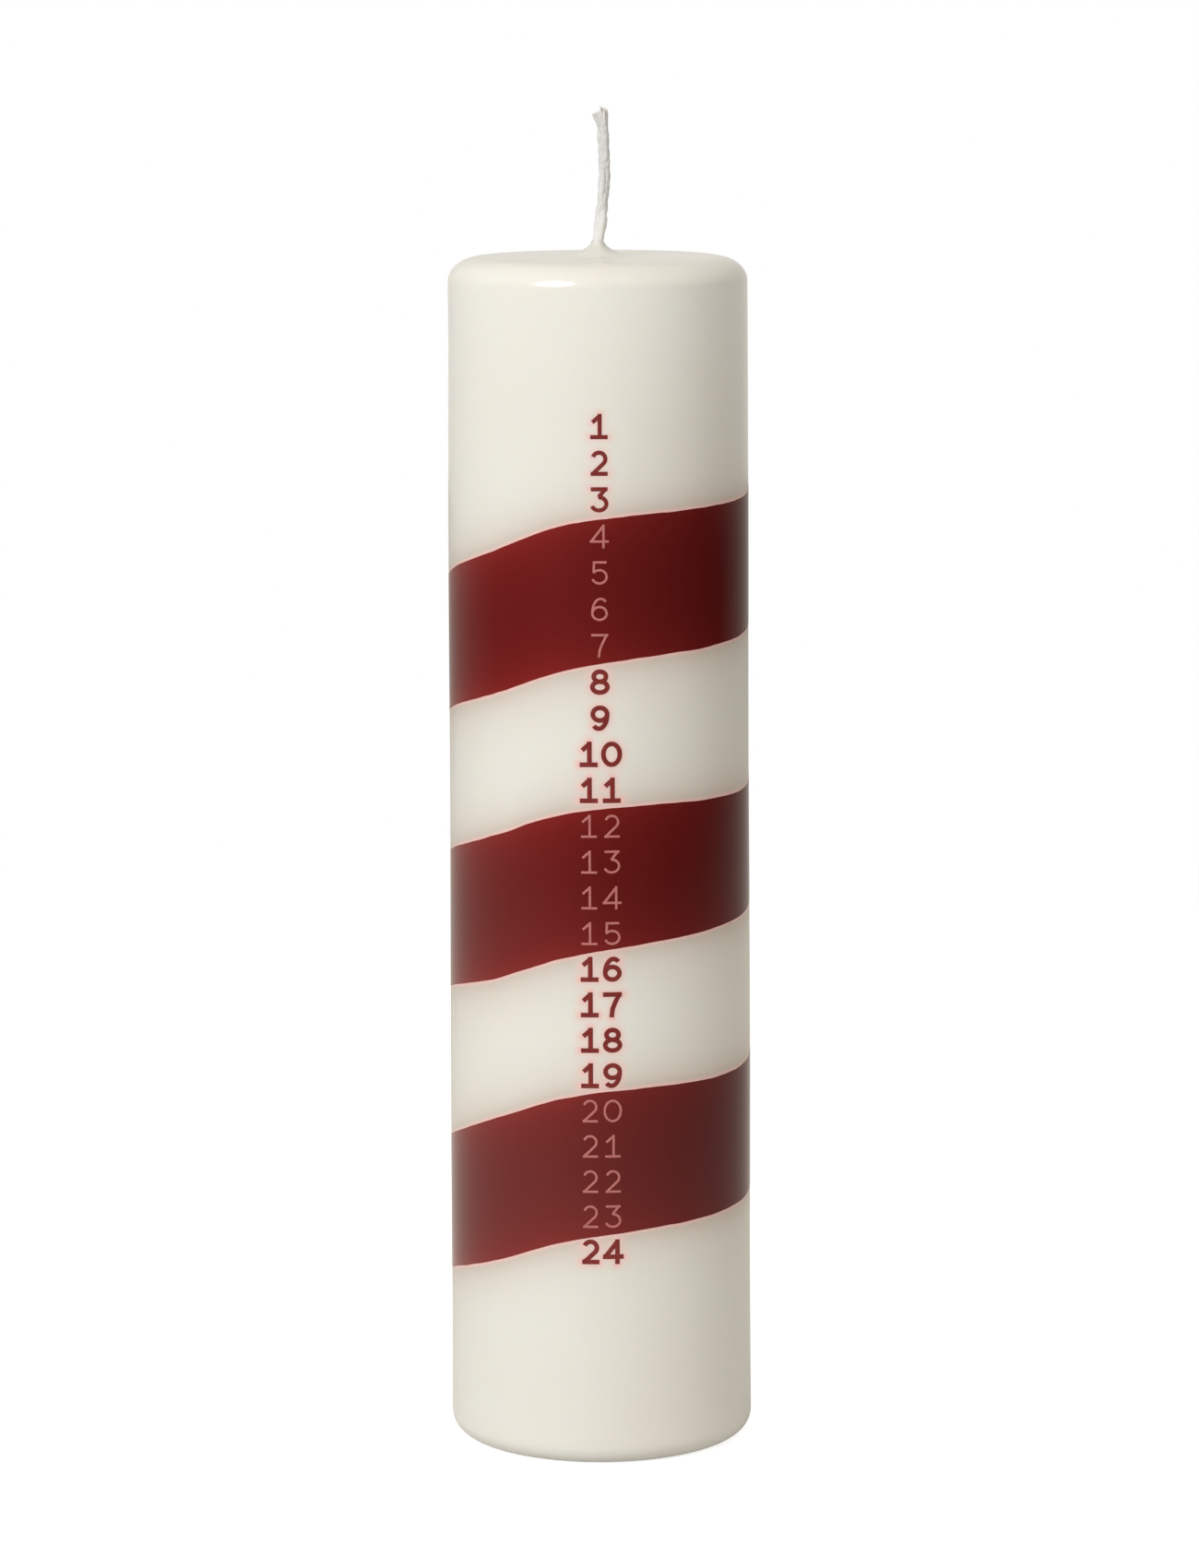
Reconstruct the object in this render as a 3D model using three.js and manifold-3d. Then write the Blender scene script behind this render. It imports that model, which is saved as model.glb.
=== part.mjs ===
// A pillar candle that counts 24 days: an ivory candle with a red spiral stripe and a column of numbers.
// Millimetres, +Z up. The origin is the middle of the base, on the surface that the candle stands on.
// The numbers face -Y, and an angle round the candle is 0 there and grows towards +X.

import * as THREE from 'three';
import * as BufferGeometryUtils from 'three/addons/utils/BufferGeometryUtils.js';
import Module from 'manifold-3d';

// Candle body
const BODY_HEIGHT = 240;
const BASE_RADIUS = 30.7;
const TOP_RADIUS = 29.8;
const SHOULDER_ACROSS = 6.4;
const SHOULDER_DROP = 4.9;
const CROWN_RISE = 0.2;
const BASE_ROUND = 3.9;
const DIP_THICKNESS = 2.0;
const BASE_OPENING_RADIUS = 21;
const COLLAR_SPREAD = 8;
const COLLAR_HEIGHT = 3.2;
const COLLAR_WALL = 0.4;
const RING_STEPS = 72;

// Wick and the metal foot that holds it
const WICK_DIAMETER = 2.5;
const WICK_EXPOSED = 29.4;
const WICK_LEAN = 1.8;
const WICK_SWAY = 1.5;
const WICK_TIP_OFFSET = 0.75;
const WICK_SIDES = 8;
const WICK_STEPS = 90;
const FOOT_RADIUS = 16.5;
const FOOT_SHEET = 0.4;
const NECK_HEIGHT = 6;
const NECK_WALL = 0.4;

// Clearances
const FIT_GAP = 0.3;
const PRINT_GAP = 0.05;

// Stripe: one strip of red wax in an uneven spiral, three turns from the back seam to the back seam.
// Its foot is measured down from the first number, because the numbers stand on it in turn.
const STRIPE_THICKNESS = 0.15;
const STRIPE_LEAD = 57;
const STRIPE_TURNS = 3;
const STRIPE_FOOT_DROP = 166.5;
const SEAM_ANGLE = -180;
const STRIPE_STEP = 5;

// Heights of the stripe's two edges above the foot of each turn, lowest turn first, at these angles.
const EDGE_ANGLES = [-105, -78, -45, -15, 12, 50, 78, 105];
const TOP_EDGE = [
  [17.2, 21.5, 27.4, 33.1, 35, 35.4, 36.5, 40.1],
  [19.2, 22.8, 27.7, 33.1, 34.7, 34.8, 35.3, 38.9],
  [17.5, 22, 27.3, 33, 35, 36, 37, 40.6],
];
const BOTTOM_EDGE = [
  [-10.6, -6.7, -1.7, 3.9, 6.2, 7.5, 8.6, 12.2],
  [-9, -5.3, -1.2, 4.3, 6.9, 8.8, 10.3, 13.9],
  [-9.9, -5.6, -1, 4.4, 6.9, 8.4, 9.7, 13.3],
];

// Numbers: red ones on the ivory, and pale ones, in a finer pen, where they stand on the stripe.
const NUMBER_COUNT = 24;
const FIRST_NUMBER_DROP = 31.5;
const NUMBER_PITCH = 7.145;
const DIGIT_HEIGHT = 4.28;
const DIGIT_ADVANCE = 4.5;
const RED_PEN = 0.77;
const PALE_PEN = 0.52;
const INK_THICKNESS = 0.15;
const CURVE_STEPS = 5;
const BOWL_STEPS = 15;
const PRISM_DEPTH = 9;

// Colours and finishes
const IVORY = new THREE.MeshStandardMaterial({ color: 0xebe8dc, roughness: 0.32, metalness: 0 });
const CORE_WAX = new THREE.MeshStandardMaterial({ color: 0xeeeae0, roughness: 0.6, metalness: 0 });
const RED_WAX = new THREE.MeshStandardMaterial({ color: 0x6d2221, roughness: 0.3, metalness: 0 });
const RED_INK = new THREE.MeshStandardMaterial({ color: 0x8a2a2c, roughness: 0.45, metalness: 0 });
const PALE_INK = new THREE.MeshStandardMaterial({ color: 0xcf9b93, roughness: 0.45, metalness: 0 });
const COTTON = new THREE.MeshStandardMaterial({ color: 0xe4e1dc, roughness: 0.8, metalness: 0 });
const TINPLATE = new THREE.MeshStandardMaterial({ color: 0xb9bbbd, roughness: 0.35, metalness: 1 });

const wasm = await Module();
wasm.setup();

const candle = new THREE.Group();

function addMesh(name, geometry, material) {
  const mesh = new THREE.Mesh(geometry, material);
  mesh.name = name;
  candle.add(mesh);
}

function radians(degrees) {
  return (degrees * Math.PI) / 180;
}

// Solids for cutting and joining

function toSolid(geometry) {
  const bare = geometry.clone();
  bare.deleteAttribute('normal');
  bare.deleteAttribute('uv');
  const merged = BufferGeometryUtils.mergeVertices(bare, 1e-4);
  const mesh = new wasm.Mesh({
    numProp: 3,
    vertProperties: new Float32Array(merged.attributes.position.array),
    triVerts: new Uint32Array(merged.index.array),
  });
  return new wasm.Manifold(mesh);
}

function toGeometry(solid) {
  const mesh = solid.getMesh();
  const geometry = new THREE.BufferGeometry();
  geometry.setAttribute('position', new THREE.BufferAttribute(mesh.vertProperties, 3));
  geometry.setIndex(new THREE.BufferAttribute(mesh.triVerts, 1));
  return geometry;
}

function joined(solids) {
  return solids.reduce((whole, piece) => whole.add(piece));
}

// Surfaces of revolution about +Z

function turned(profile) {
  const points = profile.map(([radius, height]) => new THREE.Vector2(radius, height));
  const geometry = new THREE.LatheGeometry(points, RING_STEPS);
  geometry.rotateX(Math.PI / 2);
  return geometry;
}

function arc(centreRadius, centreHeight, across, up, from, to, steps) {
  const points = [];
  for (let step = 0; step <= steps; step += 1) {
    const angle = radians(from + ((to - from) * step) / steps);
    points.push([centreRadius + across * Math.cos(angle), centreHeight + up * Math.sin(angle)]);
  }
  return points;
}

// The candle's outside radius: a straight draft from the base to the shoulder.
function outsideRadius(height) {
  return BASE_RADIUS + ((TOP_RADIUS - BASE_RADIUS) * height) / BODY_HEIGHT;
}

const topHeight = BODY_HEIGHT - CROWN_RISE;
const shoulderRadius = outsideRadius(topHeight - SHOULDER_DROP);
const shoulderCentre = shoulderRadius - SHOULDER_ACROSS;
const baseCentre = outsideRadius(BASE_ROUND) - BASE_ROUND;
const wickRadius = WICK_DIAMETER / 2;
const wickHole = wickRadius + FIT_GAP;
const collarRim = wickHole + COLLAR_WALL;
const collarTop = BODY_HEIGHT + COLLAR_HEIGHT;
const firstNumberHeight = BODY_HEIGHT - FIRST_NUMBER_DROP;
const stripeFoot = firstNumberHeight - STRIPE_FOOT_DROP;

// Ivory overdip: a shell round the whole candle, open under the base and where the wick comes out.

function addOverdip() {
  const innerTop = topHeight - DIP_THICKNESS;
  const innerShoulder = shoulderRadius - DIP_THICKNESS;
  const innerBase = outsideRadius(BASE_ROUND) - DIP_THICKNESS;
  const collarAcross = COLLAR_SPREAD - collarRim;
  const profile = [
    [BASE_OPENING_RADIUS, 0],
    ...arc(baseCentre, BASE_ROUND, BASE_ROUND, BASE_ROUND, -90, 0, 4),
    ...arc(shoulderCentre, topHeight - SHOULDER_DROP, SHOULDER_ACROSS, SHOULDER_DROP, 0, 90, 6),
    ...arc(COLLAR_SPREAD, collarTop, collarAcross, COLLAR_HEIGHT, 270, 180, 4),
    [wickHole, collarTop],
    [wickHole, innerTop],
    [innerShoulder - SHOULDER_DROP, innerTop],
    [innerShoulder, innerTop - SHOULDER_DROP],
    [innerBase, BASE_ROUND],
    [innerBase - BASE_ROUND + DIP_THICKNESS, DIP_THICKNESS],
    [BASE_OPENING_RADIUS, DIP_THICKNESS],
    [BASE_OPENING_RADIUS, 0],
  ];
  addMesh('ivory_overdip', turned(profile), IVORY);
}

// Poured wax core inside the overdip, bored for the wick and wider below for the foot's neck.

const coreBase = DIP_THICKNESS + FIT_GAP;
const neckRadius = wickRadius + FIT_GAP + NECK_WALL;
const neckTop = coreBase - FIT_GAP + NECK_HEIGHT;

function addCore() {
  const coreTop = topHeight - DIP_THICKNESS - FIT_GAP;
  const coreShoulder = shoulderRadius - DIP_THICKNESS - FIT_GAP;
  const coreFoot = outsideRadius(BASE_ROUND) - DIP_THICKNESS - FIT_GAP;
  const profile = [
    [neckRadius + FIT_GAP, coreBase],
    [coreFoot - BASE_ROUND + DIP_THICKNESS, coreBase],
    [coreFoot, BASE_ROUND + FIT_GAP],
    [coreShoulder, coreTop - SHOULDER_DROP],
    [coreShoulder - SHOULDER_DROP, coreTop],
    [wickHole, coreTop],
    [wickHole, neckTop + FIT_GAP],
    [neckRadius + FIT_GAP, neckTop + FIT_GAP],
    [neckRadius + FIT_GAP, coreBase],
  ];
  addMesh('wax_core', turned(profile), CORE_WAX);
}

// Wick foot: a pressed disc under the core with a neck that grips the wick.

const footTop = coreBase - FIT_GAP;
const footBottom = footTop - FOOT_SHEET;

function addWickFoot() {
  const profile = [
    [wickHole, footBottom],
    [FOOT_RADIUS, footBottom],
    [FOOT_RADIUS, footTop],
    [neckRadius, footTop],
    [neckRadius, neckTop],
    [wickHole, neckTop],
    [wickHole, footBottom],
  ];
  addMesh('wick_foot', turned(profile), TINPLATE);
}

// Wick: straight up the middle of the candle, then a free end that leans to one side and sways back.

function addWick() {
  const tip = BODY_HEIGHT + WICK_EXPOSED;
  const free = tip - collarTop;
  const route = new THREE.CurvePath();
  const bendStart = new THREE.Vector3(0, 0, collarTop);
  route.add(new THREE.LineCurve3(new THREE.Vector3(0, 0, footBottom), bendStart));
  route.add(new THREE.CubicBezierCurve3(
    bendStart,
    new THREE.Vector3(WICK_LEAN, 0, collarTop + free / 3),
    new THREE.Vector3(WICK_SWAY, 0, collarTop + (2 * free) / 3),
    new THREE.Vector3(WICK_TIP_OFFSET, 0, tip),
  ));
  const section = new THREE.Shape();
  for (let side = 0; side < WICK_SIDES; side += 1) {
    const angle = (2 * Math.PI * side) / WICK_SIDES;
    const x = wickRadius * Math.cos(angle);
    const y = wickRadius * Math.sin(angle);
    if (side === 0) section.moveTo(x, y);
    else section.lineTo(x, y);
  }
  section.closePath();
  const settings = { steps: WICK_STEPS, bevelEnabled: false, extrudePath: route };
  addMesh('wick', new THREE.ExtrudeGeometry(section, settings), COTTON);
}

// Digits: each is one or more pen strokes, in units of half the digit's height, on a box centred on zero.
// An open stroke is a path; a closed bowl is an ellipse with a hole.

function line(...points) {
  return { points: points.map(([x, y]) => new THREE.Vector2(x, y)) };
}

function curve(...arcs) {
  const path = new THREE.Path();
  for (const [x, y, across, up, from, to] of arcs) {
    path.absellipse(x, y, across, up, radians(from), radians(to), from > to);
  }
  return path;
}

function bend(path, ...after) {
  const points = path.getPoints(CURVE_STEPS);
  for (const [x, y] of after) points.push(new THREE.Vector2(x, y));
  return { points: points.filter((point, index) => index === 0 || point.distanceTo(points[index - 1]) > 1e-3) };
}

function bowl(x, y, across, up) {
  return { bowl: [x, y, across, up] };
}

function strokesOf(digit, end) {
  const six = [
    bowl(0, -0.39, 0.68, 0.61),
    bend(curve([0.1, -0.35, 0.78, 1.35, 180, 90], [0.1, 0.45, 0.55, 0.55, 90, 30])),
  ];
  const strokes = {
    0: [bowl(0, 0, 0.78, 1)],
    1: [
      line([-0.62, 0.38], [0.07, 1]),
      line([0.07, 1 + end], [0.07, -1]),
      line([-0.63 - end, -1], [0.63 + end, -1]),
    ],
    2: [
      bend(curve([0, 0.4, 0.6, 0.6, 160, -46]), [-0.6, -1]),
      line([-0.6 - end, -1], [0.62 + end, -1]),
    ],
    3: [
      line([-0.6 - end, 1], [0.6 + end, 1]),
      line([0.56, 1], [-0.06, 0.24]),
      bend(curve([-0.02, -0.38, 0.7, 0.62, 95, -160])),
    ],
    4: [
      line([0.4, 1], [-0.76, -0.49]),
      line([-0.78 - end, -0.49], [0.78 + end, -0.49]),
      line([0.4, 1 + end], [0.4, -1 - end]),
    ],
    5: [
      line([0.55 + end, 1], [-0.5 - end, 1]),
      line([-0.5, 1], [-0.54, 0]),
      bend(curve([0, -0.37, 0.69, 0.63, 142, -160])),
    ],
    6: six,
    7: [
      line([-0.68 - end, 1], [0.68 + end, 1]),
      line([0.66, 1], [-0.14, -1 - end]),
    ],
    8: [bowl(0, 0.53, 0.56, 0.47), bowl(0, -0.47, 0.72, 0.53)],
    9: six,
  };
  return strokes[digit];
}

// Outline of an open stroke: the path moved half a pen to the left, and back along its right.
function strokeOutline(points, half) {
  const left = [];
  const right = [];
  points.forEach((point, index) => {
    const before = points[Math.max(index - 1, 0)];
    const after = points[Math.min(index + 1, points.length - 1)];
    const into = point.clone().sub(before).normalize();
    const out = after.clone().sub(point).normalize();
    const along = into.clone().add(out).normalize();
    const across = new THREE.Vector2(-along.y, along.x);
    const lean = index === 0 || index === points.length - 1 ? 1 : Math.sqrt((1 + into.dot(out)) / 2);
    left.push(point.clone().addScaledVector(across, half / lean));
    right.unshift(point.clone().addScaledVector(across, -half / lean));
  });
  return new THREE.Shape([...left, ...right]);
}

function strokeShape(stroke, scale, half) {
  if (stroke.points) return strokeOutline(stroke.points.map((point) => point.clone().multiplyScalar(scale)), half);
  const [x, y, across, up] = stroke.bowl.map((value) => value * scale);
  const ring = new THREE.Shape();
  ring.absellipse(x, y, across + half, up + half, 0, 2 * Math.PI);
  const hole = new THREE.Path();
  hole.absellipse(x, y, across - half, up - half, 0, 2 * Math.PI, true);
  ring.holes.push(hole);
  return ring;
}

// A digit as a prism that points out of the candle's front, deep enough to pass through its printed skins.
function digitPrism(digit, penWidth, x, height) {
  const scale = DIGIT_HEIGHT / 2;
  const half = penWidth / 2;
  const pieces = strokesOf(digit, half / scale).map((stroke) => {
    const shape = strokeShape(stroke, scale, half);
    const settings = { depth: PRISM_DEPTH, bevelEnabled: false, curveSegments: BOWL_STEPS };
    const geometry = new THREE.ExtrudeGeometry(shape, settings);
    if (digit === 9) geometry.rotateZ(Math.PI);
    geometry.rotateX(Math.PI / 2);
    geometry.translate(x, PRISM_DEPTH / 2 - outsideRadius(height), height);
    return toSolid(geometry);
  });
  return joined(pieces);
}

// Stripe edges: a smooth curve through the measured heights, carried on for a turn past each end.

function edgeKnots(edge) {
  const knots = [];
  for (let turn = -1; turn <= STRIPE_TURNS; turn += 1) {
    const row = edge[Math.min(Math.max(turn, 0), edge.length - 1)];
    row.forEach((rise, index) => {
      knots.push([EDGE_ANGLES[index] + 360 * turn, stripeFoot + STRIPE_LEAD * turn + rise]);
    });
  }
  return knots;
}

function heightAt(knots, angle) {
  let index = 1;
  while (knots[index + 1][0] < angle) index += 1;
  const slopeAt = (i) => (knots[i + 1][1] - knots[i - 1][1]) / (knots[i + 1][0] - knots[i - 1][0]);
  const [fromAngle, fromHeight] = knots[index];
  const [toAngle, toHeight] = knots[index + 1];
  const span = toAngle - fromAngle;
  const t = (angle - fromAngle) / span;
  const ease = t * t * (3 - 2 * t);
  const leaving = slopeAt(index) * span * t * (1 - t) * (1 - t);
  const arriving = slopeAt(index + 1) * span * t * t * (1 - t);
  return fromHeight + (toHeight - fromHeight) * ease + leaving - arriving;
}

const topKnots = edgeKnots(TOP_EDGE);
const bottomKnots = edgeKnots(BOTTOM_EDGE);

// Four corners of the strip at each step: bottom and top edge, inside and outside face.
function addStripe() {
  const positions = [];
  const triangles = [];
  const steps = Math.round((360 * STRIPE_TURNS) / STRIPE_STEP);
  for (let step = 0; step <= steps; step += 1) {
    const angle = SEAM_ANGLE + STRIPE_STEP * step;
    for (const lift of [PRINT_GAP, PRINT_GAP + STRIPE_THICKNESS]) {
      for (const knots of [bottomKnots, topKnots]) {
        const height = heightAt(knots, angle);
        const radius = outsideRadius(height) + lift;
        positions.push(radius * Math.sin(radians(angle)), -radius * Math.cos(radians(angle)), height);
      }
    }
  }
  const quad = (a, b, c, d) => triangles.push(a, b, c, a, c, d);
  for (let step = 0; step < steps; step += 1) {
    const here = 4 * step;
    const next = here + 4;
    quad(here + 2, next + 2, next + 3, here + 3);
    quad(here + 1, next + 1, next, here);
    quad(here + 3, next + 3, next + 1, here + 1);
    quad(here, next, next + 2, here + 2);
  }
  const last = 4 * steps;
  quad(0, 2, 3, 1);
  quad(last + 1, last + 3, last + 2, last);
  const geometry = new THREE.BufferGeometry();
  geometry.setAttribute('position', new THREE.Float32BufferAttribute(positions, 3));
  geometry.setIndex(triangles);
  addMesh('red_stripe', geometry, RED_WAX);
}

// The thin skin that the ink of the numbers lies in, over the stripe and the ivory alike.
function inkSkin() {
  const low = firstNumberHeight - NUMBER_COUNT * NUMBER_PITCH;
  const high = firstNumberHeight + NUMBER_PITCH;
  const inner = PRINT_GAP + STRIPE_THICKNESS + PRINT_GAP;
  const outer = inner + INK_THICKNESS;
  return toSolid(turned([
    [outsideRadius(low) + inner, low],
    [outsideRadius(low) + outer, low],
    [outsideRadius(high) + outer, high],
    [outsideRadius(high) + inner, high],
    [outsideRadius(low) + inner, low],
  ]));
}

// The stripe passes the numbers once in each turn.
function standsOnStripe(height) {
  return TOP_EDGE.some((_, turn) => {
    const angle = 360 * turn;
    return height > heightAt(bottomKnots, angle) && height < heightAt(topKnots, angle);
  });
}

function addNumbers() {
  const skin = inkSkin();
  for (let number = 1; number <= NUMBER_COUNT; number += 1) {
    const height = firstNumberHeight - NUMBER_PITCH * (number - 1);
    const [pen, ink] = standsOnStripe(height) ? [PALE_PEN, PALE_INK] : [RED_PEN, RED_INK];
    const digits = [...String(number)].map(Number);
    const places = digits.length === 1 ? [''] : ['_tens', '_units'];
    digits.forEach((digit, place) => {
      const x = DIGIT_ADVANCE * (place - (digits.length - 1) / 2);
      const name = `number_${String(number).padStart(2, '0')}${places[place]}`;
      addMesh(name, toGeometry(digitPrism(digit, pen, x, height).intersect(skin)), ink);
    });
  }
}

addCore();
addOverdip();
addWickFoot();
addWick();
addStripe();
addNumbers();

export default candle;
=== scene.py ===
import bisect
import math
import random
import bpy
from mathutils import Matrix, Vector, noise


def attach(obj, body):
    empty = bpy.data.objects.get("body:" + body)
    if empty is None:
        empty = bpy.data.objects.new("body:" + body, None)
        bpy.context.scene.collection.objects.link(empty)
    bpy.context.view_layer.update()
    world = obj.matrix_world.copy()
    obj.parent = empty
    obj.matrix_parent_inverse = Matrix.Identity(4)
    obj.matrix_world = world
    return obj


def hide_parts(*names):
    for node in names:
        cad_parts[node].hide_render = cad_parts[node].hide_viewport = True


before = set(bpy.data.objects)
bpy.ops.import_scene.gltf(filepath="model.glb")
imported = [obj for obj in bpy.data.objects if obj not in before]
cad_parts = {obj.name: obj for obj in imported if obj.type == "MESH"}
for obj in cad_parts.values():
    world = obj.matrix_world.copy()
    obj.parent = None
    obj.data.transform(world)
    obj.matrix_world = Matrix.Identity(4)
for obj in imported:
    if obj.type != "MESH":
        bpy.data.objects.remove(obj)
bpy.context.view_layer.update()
print("frame loaded:", len(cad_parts), "CAD nodes")

# Pieces are modelled in millimetres and brought to metres when they are finished.
mm = 0.001
fullTurn = 2 * math.pi


# Working habits

def startFresh():
    if bpy.context.mode != "OBJECT":
        bpy.ops.object.mode_set(mode="OBJECT")
    bpy.ops.object.select_all(action="DESELECT")


def pick(*pieces):
    startFresh()
    for piece in pieces:
        piece.select_set(True)
    bpy.context.view_layer.objects.active = pieces[-1]


def applyModifier(piece, kind, **settings):
    pick(piece)
    modifier = piece.modifiers.new(kind.title(), kind)
    for name, value in settings.items():
        setattr(modifier, name, value)
    bpy.ops.object.modifier_apply(modifier=modifier.name)


def moveVertices(piece, place):
    for vertex in piece.data.vertices:
        vertex.co = place(vertex.co)
    piece.data.update()


def faceOut(piece):
    pick(piece)
    bpy.ops.object.mode_set(mode="EDIT")
    bpy.ops.mesh.select_all(action="SELECT")
    bpy.ops.mesh.normals_make_consistent(inside=False)
    bpy.ops.object.mode_set(mode="OBJECT")


# Edges that turn by more than the crease angle stay sharp.
def finishPiece(piece, name, material, slotName, *nodes, crease=180):
    pick(piece)
    piece.scale = (mm, mm, mm)
    bpy.ops.object.transform_apply(location=True, rotation=True, scale=True)
    bpy.ops.object.shade_smooth_by_angle(angle=math.radians(crease))
    piece.name = name
    piece.data.name = name
    piece.data.materials.clear()
    piece.data.materials.append(material)
    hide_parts(*nodes)
    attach(piece, "root")


def keepValues(piece, name, values):
    attribute = piece.data.attributes.new(name, "FLOAT", "POINT")
    attribute.data.foreach_set("value", values)


# Goes smoothly from 0 at low to 1 at high.
def blendValue(low, high, value):
    share = min(max((value - low) / (high - low), 0.0), 1.0)
    return share * share * (3 - 2 * share)


# A ring of vertices takes the shape of the profile and is spun round the candle's axis.
def spinProfile(profile, steps):
    startFresh()
    bpy.ops.mesh.primitive_circle_add(vertices=len(profile), fill_type="NOTHING")
    piece = bpy.context.object
    for vertex, (radius, height) in zip(piece.data.vertices, profile):
        vertex.co = (radius, 0, height)
    bpy.ops.object.mode_set(mode="EDIT")
    bpy.ops.mesh.select_all(action="SELECT")
    bpy.ops.mesh.spin(steps=steps, angle=fullTurn, center=(0, 0, 0), axis=(0, 0, 1))
    bpy.ops.mesh.select_all(action="SELECT")
    bpy.ops.mesh.remove_doubles(threshold=0.001)
    bpy.ops.mesh.normals_make_consistent(inside=False)
    bpy.ops.object.mode_set(mode="OBJECT")
    return piece


# Lines drawn with a round pen, as one mesh. Each line has its points, the share of the pen's radius
# at each point, and whether it closes.
def drawLines(name, lines, penRadius, roundness):
    data = bpy.data.curves.new(name, "CURVE")
    data.dimensions = "3D"
    data.bevel_depth = penRadius
    data.bevel_resolution = roundness
    data.use_fill_caps = True
    for places, shares, closed in lines:
        spline = data.splines.new("POLY")
        spline.points.add(len(places) - 1)
        spline.use_cyclic_u = closed
        for point, place, share in zip(spline.points, places, shares):
            point.co = (*place, 1)
            point.radius = share
    drawn = bpy.data.objects.new(name, data)
    bpy.context.scene.collection.objects.link(drawn)
    pick(drawn)
    bpy.ops.object.convert(target="MESH")
    return bpy.context.object


# Material nodes

white = (1.0, 1.0, 1.0, 1.0)
black = (0.0, 0.0, 0.0, 1.0)


def newMaterial(name):
    material = bpy.data.materials.new(name)
    material.use_nodes = True
    return material, material.node_tree, material.node_tree.nodes["Principled BSDF"]


def addNode(tree, kind, **settings):
    node = tree.nodes.new(kind)
    for name, value in settings.items():
        setattr(node, name, value)
    return node


# Sets each socket to its value, or links it when the value comes from another node.
def feed(tree, sockets, values):
    for socket, value in zip(sockets, values):
        if isinstance(value, bpy.types.NodeSocket):
            tree.links.new(value, socket)
        else:
            socket.default_value = value


def objectNoise(tree, scale, detail=3.0, roughness=0.5, stretch=(1, 1, 1)):
    coordinates = addNode(tree, "ShaderNodeTexCoord")
    mapping = addNode(tree, "ShaderNodeMapping")
    mapping.inputs["Scale"].default_value = stretch
    texture = addNode(tree, "ShaderNodeTexNoise")
    texture.inputs["Scale"].default_value = scale
    texture.inputs["Detail"].default_value = detail
    texture.inputs["Roughness"].default_value = roughness
    tree.links.new(coordinates.outputs["Object"], mapping.inputs["Vector"])
    tree.links.new(mapping.outputs["Vector"], texture.inputs["Vector"])
    return texture.outputs["Fac"]


def partsOf(tree, vector):
    parts = addNode(tree, "ShaderNodeSeparateXYZ")
    tree.links.new(vector, parts.inputs[0])
    return parts.outputs


def objectParts(tree):
    return partsOf(tree, addNode(tree, "ShaderNodeTexCoord").outputs["Object"])


def spread(tree, value, fromLow, fromHigh, toLow, toHigh):
    node = addNode(tree, "ShaderNodeMapRange")
    tree.links.new(value, node.inputs["Value"])
    node.inputs["From Min"].default_value = fromLow
    node.inputs["From Max"].default_value = fromHigh
    node.inputs["To Min"].default_value = toLow
    node.inputs["To Max"].default_value = toHigh
    return node.outputs["Result"]


# Goes from one value to another between two places on the piece, which are in millimetres.
def between(tree, place, start, stop, atStart, atStop):
    return spread(tree, place, start * mm, stop * mm, atStart, atStop)


# Comes and goes in patches over the piece, from least where the noise is low to most where it is high.
def patches(tree, scale, low, high, least=0.0, most=1.0, **pattern):
    return spread(tree, objectNoise(tree, scale, **pattern), low, high, least, most)


def mathNode(tree, operation, first, second=0.0):
    node = addNode(tree, "ShaderNodeMath", operation=operation)
    feed(tree, node.inputs, (first, second))
    return node.outputs["Value"]


def mixColour(tree, share, first, second):
    node = addNode(tree, "ShaderNodeMix", data_type="RGBA")
    feed(tree, (node.inputs[0], node.inputs[6], node.inputs[7]), (share, first, second))
    return node.outputs[2]


# A colour of three parts from 0 to 255, as the linear colour that the shader takes.
def paint(colour):
    linear = []
    for part in colour:
        share = part / 255
        linear.append(share / 12.92 if share <= 0.04045 else ((share + 0.055) / 1.055) ** 2.4)
    return (*linear, 1.0)


# Is 1 where the piece's own distance value is 0, and dies away over the reach.
def fadeOut(tree, attributeName, reach):
    attribute = addNode(tree, "ShaderNodeAttribute", attribute_name=attributeName)
    away = mathNode(tree, "MAXIMUM", attribute.outputs["Fac"], 0.0)
    return mathNode(tree, "EXPONENT", mathNode(tree, "MULTIPLY", away, -1.0 / reach))


# The depth is in millimetres.
def addBump(tree, shader, relief, strength, depth):
    bump = addNode(tree, "ShaderNodeBump")
    bump.inputs["Strength"].default_value = strength
    bump.inputs["Distance"].default_value = depth * mm
    tree.links.new(relief, bump.inputs["Height"])
    tree.links.new(bump.outputs["Normal"], shader.inputs["Normal"])


# Camera at the photograph's viewing angle, in millimetres and degrees

camera = {
    "distance": 1035.6,
    "height": 297.2,
    "azimuth": -0.8,
    "tilt": 8.98,
    "roll": -0.215,
    "lens": 119.16,
    "sensor": 36,
}


def addCamera():
    azimuth = math.radians(camera["azimuth"])
    startFresh()
    bpy.ops.object.camera_add(location=(
        camera["distance"] * math.sin(azimuth) * mm,
        -camera["distance"] * math.cos(azimuth) * mm,
        camera["height"] * mm,
    ))
    view = bpy.context.object
    turn = Matrix.Rotation(azimuth, 4, "Z")
    lean = Matrix.Rotation(math.radians(90 - camera["tilt"]), 4, "X")
    roll = Matrix.Rotation(math.radians(camera["roll"]), 4, "Z")
    view.rotation_euler = (turn @ lean @ roll).to_euler()
    view.name = "photoCamera"
    view.data.lens = camera["lens"]
    view.data.sensor_width = camera["sensor"]
    bpy.context.scene.camera = view


addCamera()
print("camera placed")


# Candle body: sizes of the wax and the slow waves that dipping leaves on its side

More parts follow.
